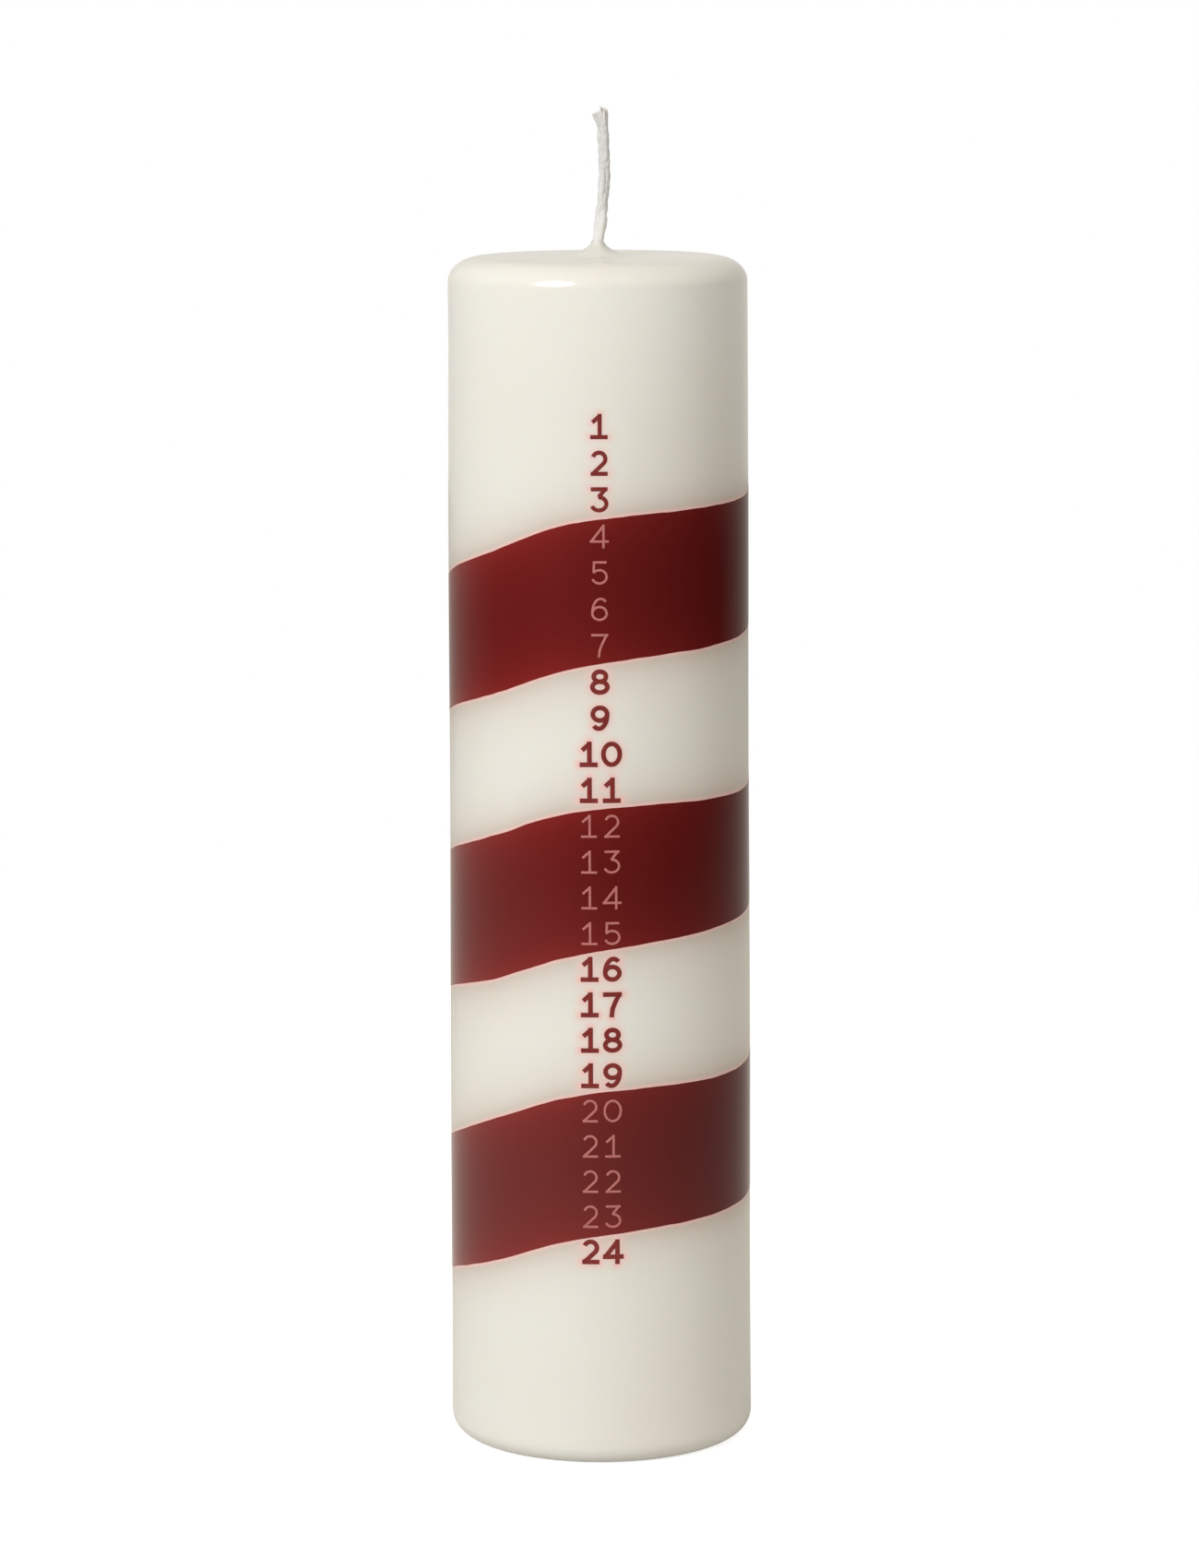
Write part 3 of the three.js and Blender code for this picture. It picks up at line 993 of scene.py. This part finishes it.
cottonLook = {
    "colour": (230, 229, 227),
    "fibreColour": (214, 211, 206),
    "fibres": {
        "scale": 1100, "detail": 4, "roughness": 0.6, "stretch": (1, 1, 0.12), "low": 0.3, "high": 0.7,
    },
    "patchColour": (205, 200, 192),
    "patches": {"scale": 380, "stretch": (1, 1, 0.4), "low": 0.5, "high": 0.75, "most": 0.5},
    "frayedColour": (220, 215, 206),
    "frayedReach": 2,
    "frayedStrength": 0.7,
    "waxedColour": (229, 227, 222),
    "dryRoughness": 0.6,
    "waxedRoughness": 0.35,
    "sheen": 0.1,
    "threads": {"scale": 1500, "roughness": 0.55, "stretch": (1, 1, 0.25)},
    "bump": {"strength": 0.35, "depth": 0.04},
}


def wickCentre(height):
    if height <= wick["bendStart"]:
        blend = blendValue(wick["bendStart"] - wick["offsetReach"], wick["bendStart"], height)
        return Vector((wick["footOffset"] * blend, 0, height))
    share = (height - wick["bendStart"]) / (wick["tip"] - wick["bendStart"])
    rest = 1 - share
    ends = rest ** 3 * wick["footOffset"] + share ** 3 * wick["tipOffset"]
    bends = 3 * share * rest * (rest * wick["lean"] + share * wick["sway"])
    return Vector((ends + bends, 0, height))


# How far the outermost of the three round strands reaches in one direction.
def plaitRadius(angle, height):
    widest = 0.0
    for strand in range(3):
        phase = fullTurn * (height / wick["plaitPitch"] + strand / 3) + math.radians(wick["plaitStart"])
        x = wick["plaitAcross"] * math.sin(phase)
        y = wick["plaitDepth"] * math.sin(2 * phase)
        ahead = x * math.sin(angle) - y * math.cos(angle)
        aside = x * math.cos(angle) + y * math.sin(angle)
        inside = wick["strandRadius"] ** 2 - aside ** 2
        if inside > 0:
            widest = max(widest, ahead + math.sqrt(inside))
    return widest


# Yarns run along the strands and cross where the strands cross; wax fills them near the candle.
def cottonRelief(angle, height):
    around = Vector((math.sin(angle), math.cos(angle), 0))

    def relief(size, fineness, length, start):
        return size * noise.noise(around * fineness + Vector((*start, height / length)))

    dry = blendValue(wick["waxedLow"], wick["waxedHigh"], height)
    left = wick["waxedRelief"] + (1 - wick["waxedRelief"]) * dry
    crossings, threads, fuzz = (relief(*row) for row in yarns)
    return relief(*lumps) + left * (crossings + threads + fuzz)


def wickSurface(angle, height):
    if height < wick["shows"]:
        return Vector((wick["radius"] * math.sin(angle), -wick["radius"] * math.cos(angle), height))
    radius = wick["soaked"] * wick["radius"] + (1 - wick["soaked"]) * plaitRadius(angle, height)
    radius += cottonRelief(angle, height)
    swell = 1 - blendValue(0, wick["swellReach"], abs(height - wick["swellHeight"]))
    radius *= wick["slim"] + wick["swell"] * swell
    radius *= 1 - wick["tipTaper"] * blendValue(wick["tip"] - wick["tipTaperReach"], wick["tip"], height)
    return wickCentre(height) + Vector((radius * math.sin(angle), -radius * math.cos(angle), 0))


def makeCotton():
    material, tree, shader = newMaterial("waxedCotton")
    height = objectParts(tree)["Z"]
    fibres = patches(tree, **cottonLook["fibres"])
    colour = mixColour(tree, fibres, paint(cottonLook["colour"]), paint(cottonLook["fibreColour"]))
    patchy = patches(tree, **cottonLook["patches"])
    colour = mixColour(tree, patchy, colour, paint(cottonLook["patchColour"]))
    frayedLow = wick["tip"] - cottonLook["frayedReach"]
    frayed = between(tree, height, frayedLow, wick["tip"], 0.0, cottonLook["frayedStrength"])
    colour = mixColour(tree, frayed, colour, paint(cottonLook["frayedColour"]))
    waxed = between(tree, height, wick["waxedLow"], wick["waxedHigh"], 1.0, 0.0)
    colour = mixColour(tree, waxed, colour, paint(cottonLook["waxedColour"]))
    tree.links.new(colour, shader.inputs["Base Color"])
    rough = spread(tree, waxed, 0.0, 1.0, cottonLook["dryRoughness"], cottonLook["waxedRoughness"])
    tree.links.new(rough, shader.inputs["Roughness"])
    shader.inputs["Sheen Weight"].default_value = cottonLook["sheen"]
    addBump(tree, shader, objectNoise(tree, **cottonLook["threads"]), **cottonLook["bump"])
    return material


# The body of the wick is a disc extruded ring by ring, coarse inside the candle and fine above it.
def addWickBody():
    startFresh()
    bpy.ops.mesh.primitive_circle_add(vertices=wick["sides"], radius=wick["radius"], fill_type="NGON",
                                      location=(0, 0, wick["foot"]))
    piece = bpy.context.object
    bpy.ops.object.transform_apply(location=True)
    bpy.ops.object.mode_set(mode="EDIT")
    bpy.ops.mesh.select_all(action="SELECT")
    plainGap = (wick["shows"] - wick["foot"]) / wick["plainSteps"]
    fineSteps = int((wick["tip"] - wick["shows"]) / wick["ringGap"])
    for gap in [plainGap] * wick["plainSteps"] + [wick["ringGap"]] * fineSteps:
        bpy.ops.mesh.extrude_region_move(TRANSFORM_OT_translate={"value": (0, 0, gap)})
    bpy.ops.object.mode_set(mode="OBJECT")
    moveVertices(piece, lambda point: wickSurface(angleOf(point), point.z))
    faceOut(piece)
    return piece


# The path of a yarn end or a hair is a list of points, each with the radius there.
def yarnPath(x, y, spreadX, spreadY, top, thickness):
    low = wick["tip"] - fray["length"]
    start = wickCentre(low) + Vector((x, y, 0)) * fray["root"]
    turns = fray["curlTurns"]
    path = []
    for step in range(fray["steps"] + 1):
        share = step / fray["steps"]
        out = share ** fray["curve"]
        point = start + Vector((spreadX * out, spreadY * out, (top - low) * share))
        curl = noise.noise(Vector((x * turns, y * turns, share * turns))) * fray["curl"]
        radius = thickness * (1 - fray["taper"] * share ** 3)
        path.append((point + Vector((curl * share, -curl * share, 0)), radius))
    return path


def hairPath(draw, angle, height, length, lift, upward):
    path = []
    drift = draw.uniform(-fray["hairDrift"], fray["hairDrift"])
    for step in range(fray["hairSteps"] + 1):
        share = step / fray["hairSteps"]
        rise = height + upward * length * share
        surface = wickSurface(angle + drift * share, min(rise, wick["tip"]))
        centre = wickCentre(min(rise, wick["tip"]))
        out = (surface - centre).normalized()
        point = surface + out * (lift * share ** 2 - fray["hairSunk"])
        point.z = rise
        path.append((point, fray["hairRadius"] * (1 - fray["hairTaper"] * share)))
    return path


# A hair at the tip starts along a yarn end and leaves it.
def tipHairPath(parent, aside):
    path = []
    for step, (point, radius) in enumerate(parent):
        share = step / (len(parent) - 1)
        path.append((point + aside * share ** 2, fray["tipHairRadius"] * (1 - fray["hairTaper"] * share)))
    return path


def addFray():
    draw = random.Random(fray["seed"])
    paths = [yarnPath(*end) for end in yarnEnds]
    for hair in range(fray["hairs"]):
        angle = draw.uniform(-math.pi, math.pi)
        height = draw.uniform(wick["waxedLow"] + fray["hairsFrom"], wick["tip"] - fray["hairsUntil"])
        length = draw.uniform(*fray["hairLength"])
        lift = draw.uniform(*fray["hairLift"])
        upward = draw.choice((1, 1, -1))
        paths.append(hairPath(draw, angle, height, length, lift, upward))
    for hair in range(fray["tipHairs"]):
        parent = yarnPath(*draw.choice(yarnEnds))[fray["tipHairStart"]:]
        right = draw.uniform(*fray["tipHairAside"])
        back = draw.uniform(*fray["tipHairAside"])
        up = draw.uniform(*fray["tipHairUp"])
        paths.append(tipHairPath(parent, Vector((right, back, up))))
    lines = []
    for path in paths:
        lines.append(([point for point, radius in path], [radius for point, radius in path], False))
    return drawLines("fray", lines, 1.0, 1)


def addWick():
    frayed = addFray()
    piece = addWickBody()
    pick(frayed, piece)
    bpy.ops.object.join()
    finishPiece(piece, "wick_cotton", makeCotton(), "wick_cotton", "wick")
    print("wick:", len(piece.data.polygons), "faces")


addWick()


# Wick foot: a pressed tin disc under the core, with a neck that grips the wick

foot = {
    "radius": 16.5,
    "bottom": 1.6,
    "sheet": 0.4,
    "edgeRound": 0.15,
    "ring": (4.0, 4.6, 10.5, 11.1),  # radii between which the disc is pressed down
    "ringDepth": 0.25,
    "neckRadius": 1.95,
    "neckRound": 0.3,
    "neckTop": 8.0,
    "hole": 1.55,
    "steps": 128,
    "crease": 35,
}
tinLook = {
    "colour": (196, 198, 200),
    "brushedColour": (172, 174, 177),
    "brushing": {
        "scale": 900, "detail": 4, "roughness": 0.6, "stretch": (1, 0.08, 1), "low": 0.3, "high": 0.7,
    },
    "smoothest": 0.28,
    "roughest": 0.42,
}


def makeTin():
    material, tree, shader = newMaterial("tin")
    brushed = patches(tree, **tinLook["brushing"])
    colour = mixColour(tree, brushed, paint(tinLook["colour"]), paint(tinLook["brushedColour"]))
    tree.links.new(colour, shader.inputs["Base Color"])
    shader.inputs["Metallic"].default_value = 1.0
    rough = spread(tree, brushed, 0.0, 1.0, tinLook["smoothest"], tinLook["roughest"])
    tree.links.new(rough, shader.inputs["Roughness"])
    return material


def addWickFoot():
    bottom = foot["bottom"]
    top = bottom + foot["sheet"]
    innerEdge, innerFloor, outerFloor, outerEdge = foot["ring"]
    profile = [
        (foot["hole"], bottom),
        (innerEdge, bottom),
        (innerFloor, bottom - foot["ringDepth"]),
        (outerFloor, bottom - foot["ringDepth"]),
        (outerEdge, bottom),
        (foot["radius"] - foot["edgeRound"], bottom),
        (foot["radius"], bottom + foot["edgeRound"]),
        (foot["radius"], top),
        (outerEdge, top),
        (outerFloor, top - foot["ringDepth"]),
        (innerFloor, top - foot["ringDepth"]),
        (innerEdge, top),
        (foot["neckRadius"] + foot["neckRound"], top),
        (foot["neckRadius"], top + foot["neckRound"]),
        (foot["neckRadius"], foot["neckTop"]),
        (foot["hole"], foot["neckTop"]),
    ]
    piece = spinProfile(profile, foot["steps"])
    finishPiece(piece, "wick_foot_tin", makeTin(), "tinplate", "wick_foot", crease=foot["crease"])
    print("wick foot:", len(piece.data.polygons), "faces")


addWickFoot()


# Wax core: the CAD model's own mesh, in poured wax

coreLook = {
    "colour": (240, 236, 224),
    "grainColour": (228, 222, 206),
    "grain": {"scale": 220, "detail": 5, "roughness": 0.65, "low": 0.3, "high": 0.7},
    "roughness": 0.55,
    "pits": {"scale": 500, "detail": 4},
    "bump": {"strength": 0.4, "depth": 0.1},
}


def dressCore():
    material, tree, shader = newMaterial("pouredWax")
    grain = patches(tree, **coreLook["grain"])
    colour = mixColour(tree, grain, paint(coreLook["colour"]), paint(coreLook["grainColour"]))
    tree.links.new(colour, shader.inputs["Base Color"])
    shader.inputs["Roughness"].default_value = coreLook["roughness"]
    addBump(tree, shader, objectNoise(tree, **coreLook["pits"]), **coreLook["bump"])
    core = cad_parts["wax_core"]
    core.data.materials.clear()
    core.data.materials.append(material)
    print("core dressed")


dressCore()


# Floor, world and lamps

studio = {
    "floorRadius": 2.0,
    "floorSides": 128,
    "floorColour": 0.66,
    "floorGlow": 0.76,
    "litNear": 0.25,  # the floor is lit as far as this, and not at all past the next
    "litFar": 0.7,
    "fillLeft": 0.555,
    "fillRight": 0.73,
    "fillLevel": 1.25,
    "fillAbove": 0.52,
    "fillColour": (1.0, 0.945, 0.875, 1.0),
    "floorTint": (1.0, 0.93, 0.82, 1.0),
    "roomTint": (1.0, 0.97, 0.9, 1.0),
}
# How bright the surroundings look in the wax: an even part, a part towards the back and a part towards
# the right. The floor's go from near to far.
shineNear = {"reach": 0.26, "even": 0.57, "back": 0.1, "right": -0.16}
shineFar = {"reach": 1.2, "even": -0.05, "back": 0.5, "right": -0.08}
shineRoom = {"even": 0.15, "back": 0.6, "right": -0.1}
lamps = {
    "keySoftbox": {
        "azimuth": -36, "elevation": 28, "distance": 1.0, "shape": "ELLIPSE",
        "wide": 0.5, "tall": 0.56, "power": 6.7, "colour": (0.95, 0.985, 1.03),
    },
    "sideLamp": {
        "azimuth": 29, "elevation": 60, "distance": 1.2, "shape": "RECTANGLE",
        "wide": 0.14, "tall": 0.34, "power": 0.26, "colour": (1.0, 1.0, 1.0),
    },
}


# Rays straight from the camera or through something clear see a white background.
def addRayShares(tree):
    path = addNode(tree, "ShaderNodeLightPath").outputs
    seen = mathNode(tree, "MAXIMUM", path["Is Camera Ray"], path["Is Transmission Ray"])
    return seen, path["Is Glossy Ray"]


def addShine(tree, direction, even, back, right):
    parts = partsOf(tree, direction)
    behind = mathNode(tree, "MULTIPLY", parts["Y"], back)
    aside = mathNode(tree, "MULTIPLY", parts["X"], right)
    both = mathNode(tree, "ADD", behind, aside)
    return mathNode(tree, "MAXIMUM", mathNode(tree, "ADD", both, even), 0.0)


def makeFloorMaterial():
    material = bpy.data.materials.new("paleFloor")
    material.use_nodes = True
    tree = material.node_tree
    tree.nodes.clear()
    seen, glossy = addRayShares(tree)
    coordinates = addNode(tree, "ShaderNodeTexCoord").outputs["Object"]
    length = addNode(tree, "ShaderNodeVectorMath", operation="LENGTH")
    tree.links.new(coordinates, length.inputs[0])
    reach = length.outputs["Value"]
    heading = addNode(tree, "ShaderNodeVectorMath", operation="NORMALIZE")
    tree.links.new(coordinates, heading.inputs[0])

    # Matt grey near the candle, which takes its shadow
    lit = spread(tree, reach, studio["litNear"], studio["litFar"], 1.0, 0.0)
    matte = addNode(tree, "ShaderNodeBsdfDiffuse")
    grey = (studio["floorColour"], studio["floorColour"], studio["floorColour"], 1.0)
    bright = mathNode(tree, "MULTIPLY", lit, mathNode(tree, "SUBTRACT", 1.0, glossy))
    tree.links.new(mixColour(tree, bright, black, grey), matte.inputs["Color"])

    # White to the camera, and its own brightness in the gloss of the wax
    plain = mathNode(tree, "MULTIPLY", seen, spread(tree, lit, 0.0, 1.0, 1.0, studio["floorGlow"]))
    parts = []
    for name in ("even", "back", "right"):
        ends = (shineNear["reach"], shineFar["reach"], shineNear[name], shineFar[name])
        parts.append(spread(tree, reach, *ends))
    shine = mathNode(tree, "MULTIPLY", glossy, addShine(tree, heading.outputs["Vector"], *parts))
    glow = addNode(tree, "ShaderNodeEmission")
    tree.links.new(mixColour(tree, glossy, white, studio["floorTint"]), glow.inputs["Color"])
    tree.links.new(mathNode(tree, "MAXIMUM", plain, shine), glow.inputs["Strength"])

    both = addNode(tree, "ShaderNodeAddShader")
    tree.links.new(matte.outputs[0], both.inputs[0])
    tree.links.new(glow.outputs[0], both.inputs[1])
    output = addNode(tree, "ShaderNodeOutputMaterial")
    tree.links.new(both.outputs[0], output.inputs["Surface"])
    return material


def addFloor():
    startFresh()
    bpy.ops.mesh.primitive_circle_add(vertices=studio["floorSides"], radius=studio["floorRadius"],
                                      fill_type="NGON")
    floor = bpy.context.object
    floor.name = "floor"
    floor.data.materials.append(makeFloorMaterial())


def addWorld():
    world = bpy.data.worlds.new("studio")
    bpy.context.scene.world = world
    world.use_nodes = True
    tree = world.node_tree
    tree.nodes.clear()
    seen, glossy = addRayShares(tree)
    direction = addNode(tree, "ShaderNodeTexCoord").outputs["Generated"]
    shine = addShine(tree, direction, **shineRoom)
    parts = partsOf(tree, direction)
    sides = spread(tree, parts["X"], -1.0, 1.0, studio["fillLeft"], studio["fillRight"])
    upward = spread(tree, parts["Z"], 0.0, 1.0, studio["fillLevel"], studio["fillAbove"])
    fill = mathNode(tree, "MULTIPLY", sides, upward)
    choose = addNode(tree, "ShaderNodeMix", data_type="FLOAT")
    feed(tree, (choose.inputs[0], choose.inputs[2], choose.inputs[3]), (glossy, fill, shine))
    tint = mixColour(tree, glossy, studio["fillColour"], studio["roomTint"])
    tint = mixColour(tree, seen, tint, white)
    background = addNode(tree, "ShaderNodeBackground")
    tree.links.new(tint, background.inputs["Color"])
    tree.links.new(mathNode(tree, "MAXIMUM", seen, choose.outputs[0]), background.inputs["Strength"])
    output = addNode(tree, "ShaderNodeOutputWorld")
    tree.links.new(background.outputs[0], output.inputs["Surface"])


# The lamps look at the top of the candle.
def addLamp(name, settings):
    azimuth = math.radians(settings["azimuth"])
    elevation = math.radians(settings["elevation"])
    away = Vector((
        math.sin(azimuth) * math.cos(elevation),
        -math.cos(azimuth) * math.cos(elevation),
        math.sin(elevation),
    ))
    aim = Vector((0, 0, body["height"] * mm))
    startFresh()
    bpy.ops.object.light_add(type="AREA", location=aim + away * settings["distance"])
    lamp = bpy.context.object
    lamp.name = name
    lamp.data.shape = settings["shape"]
    lamp.data.size = settings["wide"]
    lamp.data.size_y = settings["tall"]
    lamp.data.energy = settings["power"]
    lamp.data.color = settings["colour"]
    lamp.rotation_euler = away.to_track_quat("Z", "Y").to_euler()


addFloor()
addWorld()
for lampName, lampSettings in lamps.items():
    addLamp(lampName, lampSettings)
bpy.context.scene.view_settings.view_transform = "Standard"
print("studio set")
